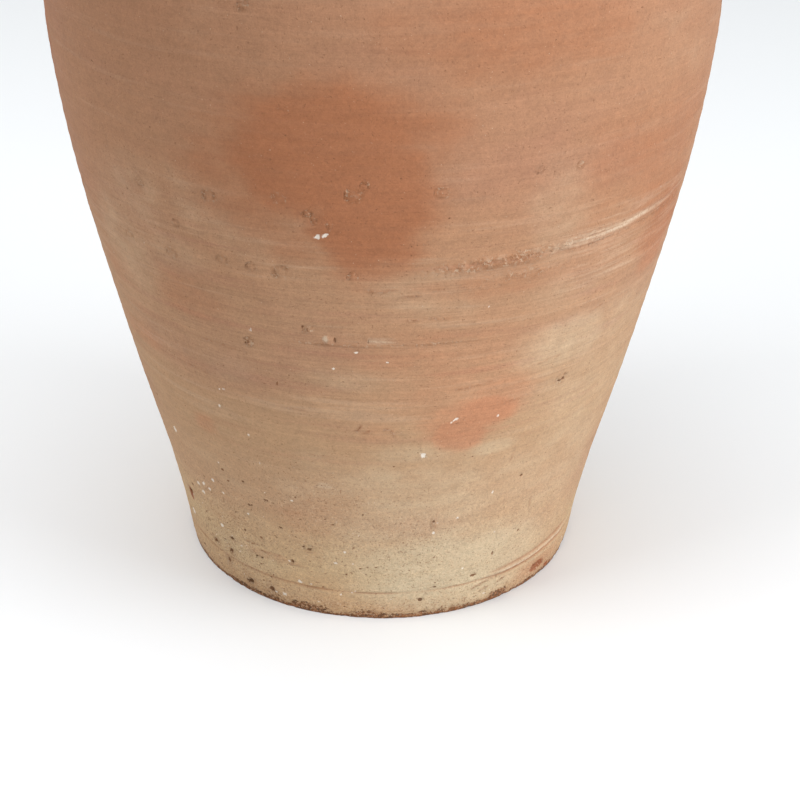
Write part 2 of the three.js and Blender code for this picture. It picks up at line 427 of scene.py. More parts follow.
# Fine lines drawn by a grain under the potter's hand: azimuth, height, length, tilt and strength.
SCRATCHES = [
    (0, 283, 26, 2, 0.55), (5, 279.5, 16, 3, 0.4), (-6, 276, 14, 2, 0.35), (-30, 47, 26, 1, 0.5),
    (-22, 42, 20, -2, 0.45), (-36, 50.5, 16, 1, 0.4), (27, 19, 14, 20, 0.6), (31, 22.5, 18, 17, 0.6),
    (35, 18, 14, 22, 0.55), (29.5, 14.5, 11, 16, 0.5), (38.5, 24, 14, 14, 0.5), (33, 27, 12, 12, 0.4),
    (13, 90, 28, 88, 0.3), (30, 140, 18, 84, 0.3), (40, 85, 18, 92, 0.3), (-12, 150, 30, 2, 0.3),
    (18, 207, 34, 5, 0.35), (26, 189, 40, 6, 0.35), (33, 215, 36, 7, 0.3), (-32, 228, 40, -3, 0.35),
    (-40, 200, 34, -4, 0.35), (-18, 188, 30, -2, 0.3), (8, 262, 40, 2, 0.35), (44, 246, 30, 7, 0.35),
    (-4.5, 176, 9, 60, 0.6), (-3, 172, 8, 20, 0.6), (2.5, 172, 10, -60, 0.55), (1, 176, 6, 10, 0.5),
    (105, 240, 50, 4, 0.4), (130, 180, 40, 3, 0.35), (-95, 220, 44, 4, 0.4), (170, 260, 46, 2, 0.4),
]


def stretches(places):
    """How strongly each column lies within some stretches of the way round the jar."""
    off = azimuths[None, :]
    return sum(
        strength * ease(off, begin, full) * ease(off, end, last)
        for begin, full, last, end, strength in places
    )


def throw(face):
    """The unevenness of thrown clay: an out-of-round wobble and soft ridges that climb the wall."""
    x, y, z = face.x, face.y, face.z
    face.relief += 0.55 * face.clouds(150, 130, 1)
    face.relief += 0.22 * face.clouds(42, 17, 4)
    climb = z - 0.1 * x + 2.5 * face.clouds(120, 60, 7)
    strong = ease(z, 120, 190) * (0.6 + 0.5 * face.clouds(90, 70, 9))
    face.relief += 0.16 * strong * wave(climb, 12.5)
    face.relief += 0.07 * strong * wave(climb, 5.3)
    face.relief += 0.05 * smooth_noise(x / 30, y / 30, climb / 1.9, 11)
    sandy = 1 - ease(z, 110, 170)
    face.relief += (0.05 + 0.07 * sandy) * face.grains(2.2, 2.0, 13)
    if face.height[-1] > RINGED_FROM:
        ring = wave(face.path, 15)[:, None]
        depth = 0.32 + 0.25 * face.clouds(80, 60, 15)
        face.relief += depth * ease(z, RINGED_FROM, RINGED_FULLY) * ring


def cut_foot(face):
    """The groove where the wall meets the slab, with a painted highlight under it, the cord of clay
    beside it, with a painted highlight on its crest, and the ragged foot.
    """
    z, masks = face.z, face.masks
    wander = 0.6 * face.clouds(60, None, 17)
    depth = 0.8 + 0.5 * face.clouds(25, None, 19)
    depth = depth * (1 - 0.5 * ease(face.clouds(30, None, 18), -0.1, 0.35))
    groove = depth * bell(z - FOOT_JOINT - wander, 0.9)
    face.relief -= 1.1 * groove
    masks["fresh"] += 0.62 * groove
    masks["crumb_and_shade"] += 0.5 * groove * ease(face.clouds(9, None, 20), -0.2, 0.4)
    # A pale band under the groove, as strong as the groove is deep, is a painted highlight on its lower
    # lip.
    masks["bloom_and_highlight"] += 0.5 * depth * bell(z - FOOT_JOINT + 2.8 - wander, 1.5)

    # The cord, raised between two grooves, which climbs to the right and only shows there. The pale line
    # along its crest is a painted highlight.
    right = ease(abs(round_from(48)), 21, 11)[None, :]
    rise = 0.16 * (azimuths - 30)[None, :]
    cord = ((3.8, -0.5, "fresh", 0.55), (1, 1.3, "scrape_and_highlight", 1.2), (-2.2, -0.9, "fresh", 0.55))
    for above, size, mask, share in cord:
        line = right * bell(z - (FOOT_JOINT + above) - wander - rise, 1.3)
        face.relief += size * line
        masks[mask] += share * line

    # Broken lines drawn round the wall above it.
    for height, size in ((29, 0.12), (33.5, 0.16), (38, 0.12), (46, 0.14)):
        line = bell(z - height - 2.5 * wander, 0.9)
        patchy = ease(face.clouds(35, 6, 21), -0.1, 0.5)
        face.relief -= size * line * patchy
        masks["crumb_and_shade"] += 1.6 * size * line * patchy

    # The ragged lower edge, with dirt, grit and chips.
    edge = ease(z, 9, 0.5)
    rough = face.clouds(7, 4, 23)
    face.relief -= edge * (0.3 + 1.2 * np.maximum(rough, 0))
    uneven = 1 + 0.7 * face.clouds(28, None, 27)
    masks["grime_and_shade"] += ease(z / uneven, 5.5, 0.5) * (0.75 + 0.35 * rough)
    masks["grime_and_shade"] += 0.3 * ease(z, 17, 3) * ease(face.clouds(13, 6, 25), -0.25, 0.45)
    masks["grit"] += 0.55 * ease(z, 30, 3) + 0.35 * ease(z, 165, 40)
    for gritty in GRIT:
        face.cloud("grit", *gritty, 1.4, gritty[1])
    for seed, (azimuth, height, length, tall, depth) in enumerate(CHIPS):
        face.spot(None, azimuth, height, length, tall, depth)
        face.cloud("fresh", azimuth, height, length * 0.95, tall * 0.95, 1, 0.2, seed)
    masks["grime_and_shade"] *= 1 - np.clip(masks["fresh"], 0, 0.9)
    for stain in STAINS:
        face.cloud("grime_and_shade", *stain, 0.8, 90 + stain[2])


def seam_height(azimuth):
    """How high the scraped seam between two thrown sections runs at an azimuth."""
    return SEAM_JOINT - 1.5 + SEAM_SLANT * np.sin(np.radians(azimuth * 0.8)) * ease(abs(azimuth), 178, 90)


def scrape_seam(face):
    """The slanting seam above the middle of the wall: crumbly in front, with painted shade and highlights
    on its crumbs, scraped pale to the right.
    """
    x, y, z, masks = face.x, face.y, face.z, face.masks
    up = z - seam_height(azimuths)[None, :] - 1.2 * face.clouds(30, None, 30)
    broken = face.clouds(4.2, 2.6, 31, 2)
    lumps = face.grains(2.7, 2.3, 34)
    thick = 4.4 + 2.4 * face.clouds(18, None, 33)
    band = np.exp(-((up / thick) ** 4))

    # The crumbly stretches, brown in the broken hollows as painted shade and pale on the lumps as painted
    # highlights, and a second crumbly band below the front one.
    crumbly = stretches(CRUMBLY)
    face.relief += crumbly * band * (0.35 + 0.75 * lumps - np.maximum(broken, 0))
    masks["crumb_and_shade"] += 0.85 * crumbly * band * ease(broken, -0.6, 0.2)
    masks["scrape_and_highlight"] += 0.3 * crumbly * band * ease(lumps, 0.1, 0.7)
    masks["patch"] += 0.3 * crumbly * bell(up, 8)
    under = stretches(CRUMBLY_BELOW)
    low_band = bell(up + 13.5, 4.5) * under
    masks["crumb_and_shade"] += 0.9 * low_band * ease(face.clouds(7, 4, 36), -0.15, 0.45)
    masks["patch"] += 0.35 * under * bell(up + 13, 9)
    face.relief -= 0.5 * low_band * np.maximum(broken, 0)

    # The scraped stretches: a fibrous stroke, fainter ones beside it and a torn edge under it.
    scraped = stretches(SCRAPED_PALE)
    narrow = 1.3 + 2.0 * ease(azimuths, 62, 38)[None, :]
    fibre = smooth_noise(x / 24, y / 24, (z - 0.04 * x) / 1.4, 37)
    stroke = bell(up, narrow) * scraped
    face.relief -= 0.35 * stroke * (1 + fibre)
    masks["scrape_and_highlight"] += stroke * (0.72 + 0.6 * fibre)
    for above, wide, share in ((8, 5, 0.25), (-16, 9, 0.25), (-33, 8, 0.2)):
        beside = bell(up - above, wide) * scraped
        masks["scrape_and_highlight"] += share * beside * ease(fibre, -0.3, 0.5)
    edge = bell(up + 5.5, 1.5) * scraped
    face.relief -= 0.4 * edge
    masks["crumb_and_shade"] += 0.7 * edge * ease(broken, -0.2, 0.4)


def drag_tool(face):
    """A grain dragged under the potter's rib: a lump with a painted highlight on its upper left and
    painted shade down its right edge, a notch and the flat pale track beyond it.
    """
    track = SEAM_JOINT - 53.6 + 0.06 * azimuths[None, :]
    line = bell(face.z - track, 0.8) * stretches(DRAGGED)
    face.relief -= 0.4 * line
    face.masks["crumb_and_shade"] += 0.75 * line
    face.spot(None, -9.4, 245.5, 6.5, 7.5, -2.0)
    face.spot(None, -12.6, 252, 5.0, 4.0, -1.2)
    # A painted highlight on the lump's upper left.
    face.cloud("scrape_and_highlight", -9.9, 246, 3.5, 5, 1.1, 0.8)
    face.cloud("crumb_and_shade", -12.6, 252, 6, 4, 0.7, 0.8)
    # Painted shade down the lump's right edge, in a narrow hollow.
    face.spot("pit_and_shade", -8.2, 245, 1.9, 6.0, 0.9, strength=0.8)
    face.spot("pit_and_shade", -2.4, 245.4, 1.5, 4.0, 0.9, strength=0.6)
    here, u, v = face.near(0.6, 245.8, 14)
    flat = ease(u, -11.5, -10.5) * ease(u, 10, -4) * ease(abs(v), 2.3, 1.5)
    face.relief[here] -= 0.4 * flat
    face.masks["scrape_and_highlight"][here] += 0.8 * flat
    face.cloud("scrape_and_highlight", -12.6, 122.6, 11, 6, 0.5, 0.8)


def press_stones(face):
    """Stones that lie just under the surface, each in a small broken ring of torn clay."""
    for azimuth, height, size in STONES:
        here, u, v = face.near(azimuth, height, 1.5 * size)
        far = np.hypot(u, v * 1.15) * 2 / size + 0.3 * clouds(u / 4, v / 4, azimuth, 41, 2)
        broken = 0.75 + 0.5 * smooth_noise(u / 3.5, v / 3.5, height, 42)
        ring = bell(far - 0.92, 0.24) * np.clip(broken, 0.2, 1)
        face.relief[here] -= 0.75 * ring
        face.relief[here] += 0.4 * ease(far, 0.85, 0.2)
        torn_and_shade = 0.8 * ring + 0.3 * ease(far, 0.9, 0.4) * ease(broken, 0.6, 1.1)
        face.mark("crumb_and_shade", here, torn_and_shade)


def scatter(face):
    """Marks all over the jar, thicker towards the foot: sand pits, lumps and specks of lime."""
    random = np.random.default_rng(SCATTER_SEED)
    for _ in range(620):
        azimuth, height = draw(random, -180, 180), draw(random, 4, 154, 1.5)
        size = draw(random, 1, 3.2, 5)
        if -15 < azimuth < SEEN:
            size = min(size, 1.3)
        wide = size * draw(random, 1.0, 2.0)
        strength = draw(random, 0.15, 0.9)
        face.spot("pit_and_shade", azimuth, height, wide, size, 0.28 * size, strength=strength)
    for _ in range(150):
        azimuth, height = draw(random, -60, -4), draw(random, 5, 110, 1.3)
        size = draw(random, 0.9, 2.0)
        mask = "pit_and_shade" if random.random() < 0.6 else "fleck"
        turn, strength = draw(random, -60, 60), draw(random, 0.45, 1.1)
        face.spot(mask, azimuth, height, 1.5 * size, size, 0.3 * size, turn, strength=strength)
    for _ in range(130):
        azimuth, height = draw(random, -180, 180), draw(random, 6, 170)
        size = draw(random, 1.6, 3.2)
        face.spot(None, azimuth, height, size, size, -draw(random, 0.3, 0.9))
    for _ in range(260):
        azimuth, height = draw(random, -180, 180), draw(random, 150, 660)
        size = draw(random, 0.9, 2.1, 5)
        wide = size * draw(random, 1, 2.2)
        face.spot("pit_and_shade", azimuth, height, wide, size, 0.2 * size, strength=draw(random, 0.1, 0.7))
    for _ in range(170):
        azimuth, height = draw(random, -180, 180), draw(random, 6, 326, 1.7)
        size = draw(random, 1.1, 3.7, 5)
        wide = size * draw(random, 0.8, 1.5)
        if abs(azimuth) > SEEN or size < 1.8:
            face.spot("fleck", azimuth, height, wide, size, 0.15 * size, draw(random, -40, 40))


def lute_handles(face):
    """The clay smeared round each handle's roots, painted shade and dust in the crease round them, and
    the dents of the potter's thumbs.
    """
    for azimuth in HANDLES.values():
        for height, across, along, reach, proud in ROOTS.values():
            here, u, v = face.near(azimuth, height, 3 * across)
            out = (np.hypot(u / across, v / along) - 1) * (across + along) / 2
            out = out + 3 * clouds(u / 16, v / 16, azimuth, 43)
            face.relief[here] += proud * ease(out, reach, -2) ** 1.5
            # Painted shade, with dust, darkens the crease round each root.
            face.masks["grime_and_shade"][here] += 0.12 * ease(abs(out - 2), 5, 0)
        for side in (-1, 1):
            for slip, lift in THUMB_DENTS:
                height = ROOTS["shoulder"][0] + lift
                face.spot(None, azimuth + side * slip, height, 19, 13, 1.9, side * 35)


def scratch(face, azimuth, height, length, turn, strength):
    """A fine line cut into the surface."""
    here, u, v = face.near(azimuth, height, 0.6 * length, turn)
    bend = 0.8 * smooth_noise(u / 9, azimuth, height, 47)
    line = bell(v - bend, 0.9) * ease(abs(u), length / 2, length / 4)
    line = line * (0.7 + 0.5 * smooth_noise(u / 2.5, azimuth, height, 48))
    face.relief[here] -= 0.45 * strength * line
    face.masks["crumb_and_shade"][here] += 1.6 * strength * line
    face.mark("fresh", here, 0.6 * strength * line)


def work(face):
    """Everything that shows on the outside of the wall."""
    throw(face)
    cut_foot(face)
    scrape_seam(face)
    drag_tool(face)
    press_stones(face)
    lute_handles(face)
    for mark in SCRATCHES:
        scratch(face, *mark)
    for seed, patch in enumerate(PATCHES):
        face.cloud("patch", *patch, seed)
    for seed, bloom_and_highlight in enumerate(BLOOMS):
        face.cloud("bloom_and_highlight", *bloom_and_highlight, 1.2, 60 + seed)
    for *lump, turn in LIME:
        face.spot("fleck", *lump, 0.45, turn, 0.12)
    for azimuth, height, length, tall, depth in PITS:
        face.spot("pit_and_shade", azimuth, height, length, tall, depth, 0, 0.15)
        if tall > 3.5:
            face.spot("fleck", azimuth + 1.1, height - 1.6, 2.4, 1.6, strength=0.4)
            face.cloud("crumb_and_shade", azimuth, height, 2.2 * length, 2.2 * tall, 0.6, 1.0, int(height))
    scatter(face)


def work_inside(face):
    """The finger ridges that throwing leaves on the inside of the wall."""
    climb = face.z + 2 * face.clouds(90, 60, 51) + 16 * azimuths[None, :] / 360
    face.relief += 0.7 * wave(climb, 16)
    face.relief += 0.4 * face.clouds(40, 25, 53)


# ---- meshes


def put(name, data):
    """A new object in the scene."""
    made = bpy.data.objects.new(name, data)
    bpy.context.scene.collection.objects.link(made)
    return made


def make_piece(node, slot, points, faces, masks, sharp_rows=()):
    """A closed mesh that stands for a node, with the masks as attributes of its points."""
    mesh = bpy.data.meshes.new(node + "_clay")
    mesh.from_pydata(points, [], faces)
    for name, values in masks.items():
        attribute = mesh.attributes.new(name, "FLOAT", "POINT")
        attribute.data.foreach_set("value", values.astype(np.float32))
    mesh.shade_smooth()
    if sharp_rows:
        ends = np.empty(len(mesh.edges) * 2, np.int32)
        mesh.edges.foreach_get("vertices", ends)
        rows = ends.reshape(-1, 2) // COLUMNS
        crease = (rows[:, 0] == rows[:, 1]) & np.isin(rows[:, 0], sharp_rows)
        attribute = mesh.attributes.new("sharp_edge", "BOOLEAN", "EDGE")
        attribute.data.foreach_set("value", crease)
    piece = put(node + "_clay", mesh)
    mesh.materials.append(materials[slot])
    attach(piece, "root")
    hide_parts(node)
    return piece


def ring_faces(rows, columns, closed=True):
    """Quads between each row of a grid and the next, all the way round the columns."""
    i = np.arange(rows if closed else rows - 1)[:, None]
    j = np.arange(columns)[None, :]
    below, above = i * columns, (i + 1) % rows * columns
    after = (j + 1) % columns
    corners = (below + j, below + after, above + after, above + j)
    return np.stack(np.broadcast_arrays(*corners), -1).reshape(-1, 4).tolist()


def end_faces(rows, columns):
    """Triangles that close a grid's first and last row, each to a pole. The poles follow the grid."""
    pole, faces = rows * columns, []
    for j in range(columns):
        after = (j + 1) % columns
        faces.append((pole, after, j))
        faces.append((pole + 1, pole - columns + j, pole - columns + after))
    return faces


def steps(outline, low, high, spacing, most=MOST_ROWS):
    """Places along an outline between two heights, so far apart, but no more than so many."""
    start, end = outline.path_at(low), outline.path_at(high)
    count = max(3, round((end - start) / spacing) + 1)
    return np.linspace(start, end, min(count, most))


def make_wall(node, slot):
    """One thrown section: its outside, its inside and the level joint faces between them."""
    low, high = (corner.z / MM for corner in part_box(node))
    outer = Face(outside, steps(outside, low, high, ROW_STEP))
    inner = Face(inside, steps(inside, low, high, INNER_STEP, MOST_INNER_ROWS)[::-1])
    work(outer)
    work_inside(inner)
    points = np.concatenate([outer.solid_points(), inner.solid_points()])
    rows = len(points)
    masks = {
        name: np.concatenate([outer.masks[name], inner.masks[name]]).ravel()
        for name in outer.masks
    }
    edges = (0, len(outer.path) - 1, len(outer.path), rows - 1)
    flat = points.reshape(-1, 3)
    return make_piece(node, slot, flat, ring_faces(rows, COLUMNS), masks, edges)


def make_base():
    """The foot: a slab whose underside is hollowed a little and ringed by the cutting wire."""
    low, high = (corner.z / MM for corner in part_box("base_slab"))
    side = Face(outside, steps(outside, low, high, ROW_STEP))
    work(side)

    # The underside: hollowed, with the wire's curved marks and grains of sand.
    foot = side.radius[0] - 1
    radius = np.linspace(4, foot - 1.5, round(foot / DISC_STEP))[:, None]
    x, y, _ = np.moveaxis(turned(radius, 0), -1, 0)
    hollow = 1.6 * ease(radius, foot - 6, foot - 40)
    wire = 0.35 * (1 + np.sin(0.33 * np.hypot(x + 24, y - 10)))
    sand = 0.25 * (1 + smooth_noise(x / 3, y / 3, 0, 61))
    under = turned(radius, hollow + (wire + sand) * ease(radius, foot, foot - 12)) * MM

    # The floor of the jar, with the spiral of the potter's finger.
    seat = high - 0.8
    radius = np.linspace(side.radius[-1] - 3, 4, round(side.radius[-1] / DISC_STEP))[:, None]
    x, y, _ = np.moveaxis(turned(radius, 0), -1, 0)
    spiral = 0.5 * np.sin(2 * math.pi * radius / 17 + np.arctan2(y, x))
    floor = turned(radius, seat + spiral * ease(radius, 136, 124)) * MM

    grids = [under, side.solid_points(), floor]
    rows = sum(len(grid) for grid in grids)
    poles = np.array([[0, 0, 1.9], [0, 0, seat]]) * MM
    points = np.concatenate([grid.reshape(-1, 3) for grid in grids] + [poles])
    masks = blank(len(points))
    start = len(under) * COLUMNS
    for name, values in side.masks.items():
        masks[name][start : start + values.size] = values.ravel()
    masks["grime_and_shade"][:start] = 0.25
    faces = ring_faces(rows, COLUMNS, closed=False) + end_faces(rows, COLUMNS)
    edges = (rows - len(floor) - 1,)
    return make_piece("base_slab", "foot_clay", points, faces, masks, edges)


def make_rim():
    """The rolled rim: an oval section, worn and a little uneven, with small chips."""
    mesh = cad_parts["rim"].data
    section = {(round(v.co.xy.length / MM, 1), round(v.co.z / MM, 1)) for v in mesh.vertices}
    middle = np.mean(list(section), axis=0)
    section = sorted(section, key=lambda p: math.atan2(p[1] - middle[1], p[0] - middle[0]))
    outline = Outline(section + section[:1])
    outline.slope[[0, -1]] = (outline.slope[0] + outline.slope[-1]) / 2
    rows = round(outline.path[-1] / RIM_STEP)
    face = Face(outline, np.arange(rows) / rows * outline.path[-1])
    z = face.z
    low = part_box("rim")[0].z / MM
    seat = ease(z, low + 2, low + 8)
    face.relief += 0.5 * face.clouds(70, 30, 71) * seat
    face.relief += 0.12 * wave(face.path, 6.1)[:, None] * seat
    face.relief += 0.12 * face.grains(2.6, 2.6, 73)
    outer_top = ease(z, 690, 708)
    for azimuth, size, depth in RIM_CHIPS:
        turn = np.radians(round_from(azimuth))[None, :] * RIM_CREST
        far = np.hypot(turn / (size / 2), (z - RIM_CREST_HEIGHT) / 6)
        far = far + 4 * (face.radius[:, None] < THROAT)
        far = far + 0.6 * face.clouds(7, 7, 75)
        face.relief -= depth * ease(far, 1.1, 0.6) * (0.8 + 0.3 * face.clouds(3, 3, 76))
        face.mark("fresh", ..., 0.6 * ease(far, 1.0, 0.8))
    face.masks["bloom_and_highlight"] += 0.35 * outer_top * ease(face.clouds(30, 30, 77), -0.3, 0.6)
    random = np.random.default_rng(RIM_SEED)
    for _ in range(90):
        row, column = random.integers(rows), random.integers(COLUMNS)
        size = draw(random, 1.4, 3, 3)
        along = face.path - face.path[row]
        around = np.radians(round_from(azimuths[column])) * face.radius[row]
        here = np.ix_(np.flatnonzero(abs(along) < 5), np.flatnonzero(abs(around) < 5))
        far = np.hypot(around[here[1]], along[here[0]]) / (size / 2)
        face.mark("pit_and_shade" if random.random() < 0.7 else "fleck", here, 1 - far)
        face.relief[here] -= 0.25 * size * ease(far, 1.15, 0.25)
    masks = {name: values.ravel() for name, values in face.masks.items()}
    points = face.solid_points().reshape(-1, 3)
    return make_piece("rim", "collar_clay", points, ring_faces(rows, COLUMNS), masks)


CROOK = (135, 585)  # a place inside a strap's bend, which all of its points lie round
STRAP_ROWS = int(150 * FINE)
STRAP_COLUMNS = int(110 * FINE)
EMBED = 9.0  # mm that each end of a strap runs on into the wall


def strap_line(node):
    """The middle line of a strap, as (distance from the axis, height) in mm, from neck to shoulder.
    The points furthest out along Y lie on it."""
    points = np.array([v.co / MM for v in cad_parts[node].data.vertices])
    edge = points[points[:, 1] > points[:, 1].max() - 0.05]
    line = {(round(abs(x), 1), round(z, 1)) for x, _, z in edge}
    order = sorted(line, key=lambda p: -math.atan2(p[1] - CROOK[1], p[0] - CROOK[0]))
    kept = [order[0]]
    for p in order[1:]:
        if math.dist(p, kept[-1]) > 4:
            kept.append(p)
    return np.array(kept, float)


def make_handle(node, azimuth):
    """A pulled strap with finger ridges along it, broadening into the neck and the shoulder."""
    line = strap_line(node)
    for end, inner in ((0, 1), (-1, -2)):
        away = line[end] - line[inner]
        beyond = line[end] + away / np.linalg.norm(away) * EMBED
        line = np.insert(line, 0 if end == 0 else len(line), beyond, axis=0)
    curve = Outline(line)
    path = np.linspace(0, curve.path[-1], STRAP_ROWS)
    share = path / path[-1]
    place, normal = curve.at(path)
    normal = -normal

    # How wide and thick the strap is along its length.
    low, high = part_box(node)
    wide = (high.y - low.y) / 2 / MM - 0.8
    thick = 9.4
    flare = 5.5 * ease(share, 0.15, 0.0) + 7.0 * ease(share, 0.8, 1.0)
    half_wide = wide - 2.5 * np.sin(math.pi * share) ** 2 + flare
    half_thick = thick - 0.8 * np.sin(math.pi * share)
    half_thick = half_thick + 1.5 * ease(share, 0.12, 0) + ease(share, 0.86, 1)

    # The section, a rounded oblong, as distances across the strap and through it.
    theta = np.arange(STRAP_COLUMNS) / STRAP_COLUMNS * 2 * math.pi
    across = np.sign(np.cos(theta)) * abs(np.cos(theta)) ** 0.8
    through = np.sign(np.sin(theta)) * abs(np.sin(theta)) ** 0.8
    sideways = half_wide[:, None] * across[None, :]
    outward = half_thick[:, None] * through[None, :]
    outer = (through > 0)[None, :] * (1 - abs(across[None, :]) ** 4)
    ridge = 0.9 * np.cos(3 * math.pi * across)[None, :] * outer * ease(share, 0.0, 0.15)[:, None]
    seed = int(azimuth)
    reach, level = place[:, :1], place[:, 1:]
    rough = 0.45 * clouds(reach / 30 + seed, sideways / 22, level / 30, 81)
    grain = 0.10 * smooth_noise(reach / 2.4 + outward / 2.4, sideways / 2.4, level / 2.4 + seed, 83)
    pull = 0.14 * smooth_noise(sideways / 2.3, outward / 3, reach / 90 + seed, 85)
    size = 1 + (rough + grain + pull) / half_thick[:, None]
    sideways, outward = sideways * size, outward * size + ridge
    side = 1 if azimuth > 0 else -1
    out = side * (reach + normal[:, :1] * outward)
    points = np.stack([out, side * sideways, level + normal[:, 1:] * outward], -1)

    # Sand and lime, and slip worn pale where a hand holds the strap.
    masks = blank(STRAP_ROWS * STRAP_COLUMNS + 2)
    shape = (STRAP_ROWS, STRAP_COLUMNS)
    random = np.random.default_rng(STRAP_SEED + seed)
    for _ in range(60):
        row, column = random.integers(4, STRAP_ROWS - 4), random.integers(STRAP_COLUMNS)
        far = np.linalg.norm(points - points[row, column], axis=-1)
        size = draw(random, 0.8, 1.7, 3)
        name = "pit_and_shade" if random.random() < 0.7 else "fleck"
        grid = masks[name][:-2].reshape(shape)
        np.maximum(grid, 1 - np.minimum(far / size, 2), out=grid)
    worn = outer * ease(outward, 5, 9) * np.sin(math.pi * share)[:, None]
    masks["bloom_and_highlight"][:-2] = (0.45 * worn).ravel()
    ends = np.array([points[0].mean(0), points[-1].mean(0)])
    flat = np.concatenate([points.reshape(-1, 3), ends]) * MM
    faces = ring_faces(*shape, closed=False) + end_faces(*shape)
    return make_piece(node, "handle_clay", flat, faces, masks)


# ---- the clay


def tone(text):
    """A colour written as on screen, such as "c39675", as the linear numbers that a shader takes."""
    shares = [int(text[i : i + 2], 16) / 255 for i in (0, 2, 4)]
    linear = [s / 12.92 if s <= 0.04045 else ((s + 0.055) / 1.055) ** 2.4 for s in shares]
    return (*linear, 1.0)


def feed(node, links):
    """Give a node's inputs their values: another node's output, a colour as text, or a number."""
    for socket, value in links.items():
        if isinstance(value, bpy.types.NodeSocket):
            node.id_data.links.new(value, node.inputs[socket])
        else:
            node.inputs[socket].default_value = tone(value) if isinstance(value, str) else value


def add_node(tree, kind, links, **settings):
    """A new node with its inputs and its settings."""
    made = tree.nodes.new(kind)
    for key, value in settings.items():
        setattr(made, key, value)
    feed(made, links)
    return made


def plain_material(name):
    """A new material and its surface node."""
    material = bpy.data.materials.new(name)
    material.use_nodes = True
    return material, material.node_tree.nodes["Principled BSDF"]


class Shader:
    """Short ways to add nodes to a material, and the colour that is painted so far."""

    def __init__(self, name):
        self.material, self.surface = plain_material(name)
        self.object = self.node("ShaderNodeTexCoord", {}).outputs["Object"]
        self.colour = None

    def node(self, kind, links, **settings):
        return add_node(self.material.node_tree, kind, links, **settings)

    def math(self, operation, a, b=0.0, c=0.0):
        links = {0: a, 1: b, 2: c}
        return self.node("ShaderNodeMath", links, operation=operation).outputs[0]

    def times(self, a, b):
        return self.math("MULTIPLY", a, b)

    def plus(self, a, b):
        return self.math("ADD", a, b)

    def times_plus(self, a, b, c):
        return self.math("MULTIPLY_ADD", a, b, c)

    def field(self, name):
        return self.node("ShaderNodeAttribute", {}, attribute_name=name).outputs["Fac"]

    def ease(self, value, low, high, start=0.0, end=1.0):
        links = {"Value": value, "From Min": low, "From Max": high, "To Min": start, "To Max": end}
        made = self.node("ShaderNodeMapRange", links, interpolation_type="SMOOTHSTEP")
        return made.outputs["Result"]

    def mix(self, a, b, share, blend="MIX"):
        links = {"Factor": share, 6: a, 7: b}
        made = self.node("ShaderNodeMix", links, data_type="RGBA", blend_type=blend)
        return made.outputs[2]

    def paint(self, over, share, blend="MIX"):
        """Lay a colour over what is painted so far."""
        self.colour = self.mix(self.colour, over, share, blend)

    def noise(self, scale, detail, rough, vector=None):
        links = {"Scale": scale, "Detail": detail, "Roughness": rough}
        links["Vector"] = vector or self.object
        return self.node("ShaderNodeTexNoise", links).outputs["Fac"]

    def streaks(self, across, up, detail, rough, tilt=0.0):
        """Noise so fine round and up the jar, tilted so that streaks climb to the right."""
        links = {"Vector": self.object, "Scale": (across, across, up), "Rotation": (0, tilt, 0)}
        vector = self.node("ShaderNodeMapping", links, vector_type="POINT").outputs[0]
        return self.noise(1.0, detail, rough, vector)

    def specks(self, scale, size, share):
        """Round specks in a share of the cells of a grid, from 0 to 1."""
        links = {"Vector": self.object, "Scale": scale}
        cells = self.node("ShaderNodeTexVoronoi", links)
        chosen = self.node("ShaderNodeSeparateColor", {"Color": cells.outputs["Color"]})
        on = self.math("GREATER_THAN", chosen.outputs[0], self.math("SUBTRACT", 1.0, share))
        radius = self.times_plus(chosen.outputs[1], size * 0.6, size * 0.5)
        inner = self.times(radius, 0.5)
        return self.times(on, self.ease(cells.outputs["Distance"], radius, inner))


# The clay's colours by height above the floor in metres, and what varies them.
BODY = [
    (0.012, "c09c76"), (0.038, "c2a47e"), (0.090, "b59170"), (0.155, "b08c6a"), (0.235, "ab8464"),
    (0.320, "a57a5b"), (0.450, "9f7356"), (0.715, "a4795c"),
]
ORANGE = "9b6444"  # above the belly's seam
PEACH = "b37c5b"  # the same patches lower down, where the slip over them is paler
REDDISH = "a0705a"
PALE = "c5b496"
BRUSHED = "c4a88c"
SCRAPED_AND_HIGHLIGHT = "cdb69c"
LIME_WHITE = "e6ddd0"
PIT_BROWN = "65442b"
PIT_RED = "875b3d"
CRUMB_BROWN = "94633f"
FRESH_CLAY = "94593a"
GRIME_AND_SHADE = "553a27"
CRUST = "935c36"
TALL = cad_high.z


